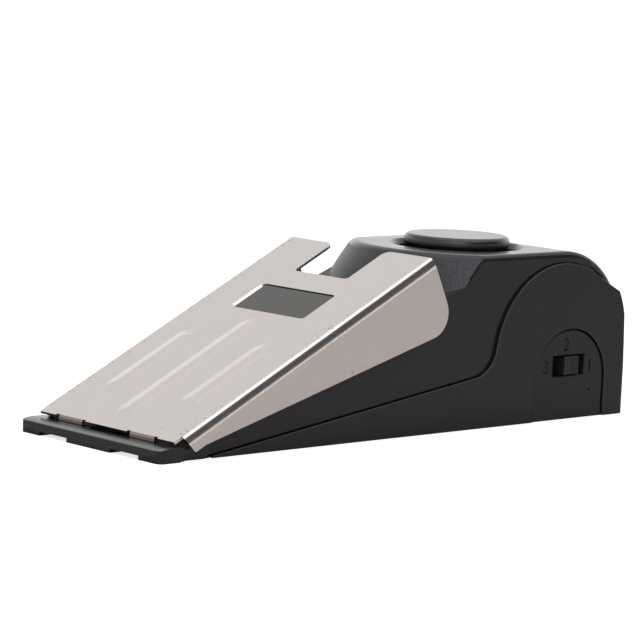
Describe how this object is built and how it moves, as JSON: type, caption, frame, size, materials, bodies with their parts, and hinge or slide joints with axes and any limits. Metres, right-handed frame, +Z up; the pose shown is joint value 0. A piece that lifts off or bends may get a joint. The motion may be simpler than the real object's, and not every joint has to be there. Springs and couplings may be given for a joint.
{
  "type": "door stop alarm",
  "caption": "Wedge-shaped door stop alarm with a sprung steel press plate over its ramp, a siren under a round cap and a slide switch in an arched panel on each side.",
  "frame": {"origin": "centre of the bounding box in plan, at the face that lies on the floor", "axes": "+X along the wedge towards the high rear end, toe to -X; +Y towards the side with the power switch; +Z up"},
  "size_m": [0.145, 0.0474, 0.0417],
  "materials": {
    "black_shell": "satin moulded black",
    "switch_black": "smooth black",
    "plate_steel": "bright rolled stainless sheet",
    "fitting_steel": "plated",
    "white_plastic": "moulded",
    "brass": "thin sheet",
    "ceramic": "fired",
    "board": "green circuit board",
    "rubber": "ribbed",
    "battery_skin": "printed steel case, plain",
    "copper": "wound enamelled wire",
    "red_wire": "insulation",
    "black_wire": "insulation"
  },
  "bodies": {
    "base": {"upper_housing": "black_shell", "lower_housing": "black_shell", "return_spring": "fitting_steel", "press_switch": "switch_black", "press_switch_board": "board", "siren_cap": "black_shell", "siren_neck": "black_shell", "siren_chamber": "switch_black", "piezo_disc": "brass", "piezo_ceramic": "ceramic", "piezo_gasket": "rubber", "main_board": "board", "driver_chip": "switch_black", "boost_coil": "copper", "capacitor": "battery_skin", "drive_transistor": "switch_black", "vibration_sensor": "fitting_steel", "sensitivity_panel": "black_shell", "sensitivity_switch": "fitting_steel", "sensitivity_board": "board", "power_panel": "black_shell", "power_switch": "fitting_steel", "power_board": "board", "battery": "battery_skin", "battery_terminal_positive": "fitting_steel", "battery_terminal_negative": "fitting_steel", "battery_snap": "switch_black", "battery_lead_red": "red_wire", "battery_lead_black": "black_wire", "piezo_lead_red": "red_wire", "piezo_lead_black": "black_wire", "switch_lead_red": "red_wire", "switch_lead_black": "black_wire", "front_rubber_pad": "rubber", "rear_rubber_pad": "rubber", "switch_board_screw_1": "fitting_steel", "switch_board_screw_2": "fitting_steel", "board_screw_1": "fitting_steel", "board_screw_2": "fitting_steel", "board_screw_3": "fitting_steel", "board_screw_4": "fitting_steel", "housing_screw_1": "fitting_steel", "housing_screw_2": "fitting_steel", "housing_screw_3": "fitting_steel", "housing_screw_4": "fitting_steel"},
    "plate": {"press_plate": "plate_steel", "window_pane": "switch_black", "plate_plunger": "white_plastic"},
    "sensitivity_slider": {"sensitivity_knob": "switch_black"},
    "power_slider": {"power_knob": "switch_black"},
    "door": {"battery_door": "black_shell"}
  },
  "joints": [
    {"name": "plate_press", "type": "hinge", "parent": "base", "child": "plate", "pos_m": [-0.0675, 0, 0.002], "axis": [0, 1, 0], "range_deg": [0, 5], "stiffness_Nm_per_rad": 1, "springref_deg": -6.88, "deforming": ["return_spring"]},
    {"name": "sensitivity_slide", "type": "slide", "parent": "base", "child": "sensitivity_slider", "axis": [1, 0, 0], "range_m": [-0.0025, 0.0025]},
    {"name": "power_slide", "type": "slide", "parent": "base", "child": "power_slider", "axis": [1, 0, 0], "range_m": [0, 0.005]},
    {"name": "battery_door_slide", "type": "slide", "parent": "base", "child": "door", "axis": [-1, 0, 0], "range_m": [0, 0.004]}
  ]
}
